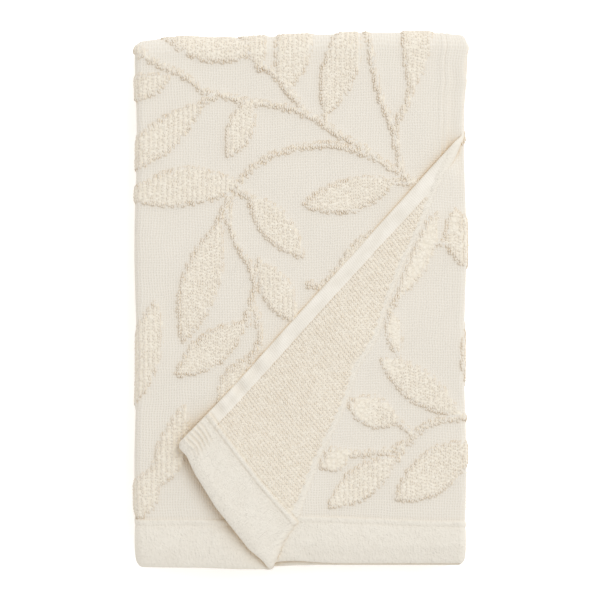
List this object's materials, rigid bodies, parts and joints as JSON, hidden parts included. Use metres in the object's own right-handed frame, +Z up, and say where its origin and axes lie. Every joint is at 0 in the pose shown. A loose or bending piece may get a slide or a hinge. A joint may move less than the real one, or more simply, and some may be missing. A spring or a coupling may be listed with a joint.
{
  "type": "hand towel",
  "caption": "Folded cotton hand towel with raised terry leaves on a flat weave, plain hems, and one corner turned back to show its looped reverse.",
  "frame": {"origin": "middle of the folded towel's plan, on the surface that it lies on", "axes": "+Y from the front hems to the top fold, +X across to the side where the tuck panel shows, +Z up out of the folded stack"},
  "size_m": [0.1404, 0.2257, 0.0281],
  "materials": {
    "cotton_terry": "undyed ivory cotton: looped terry leaves and reverse, flat woven ground, velour-like hems"
  },
  "bodies": {
    "root": {"towel": "cotton_terry"}
  },
  "joints": []
}
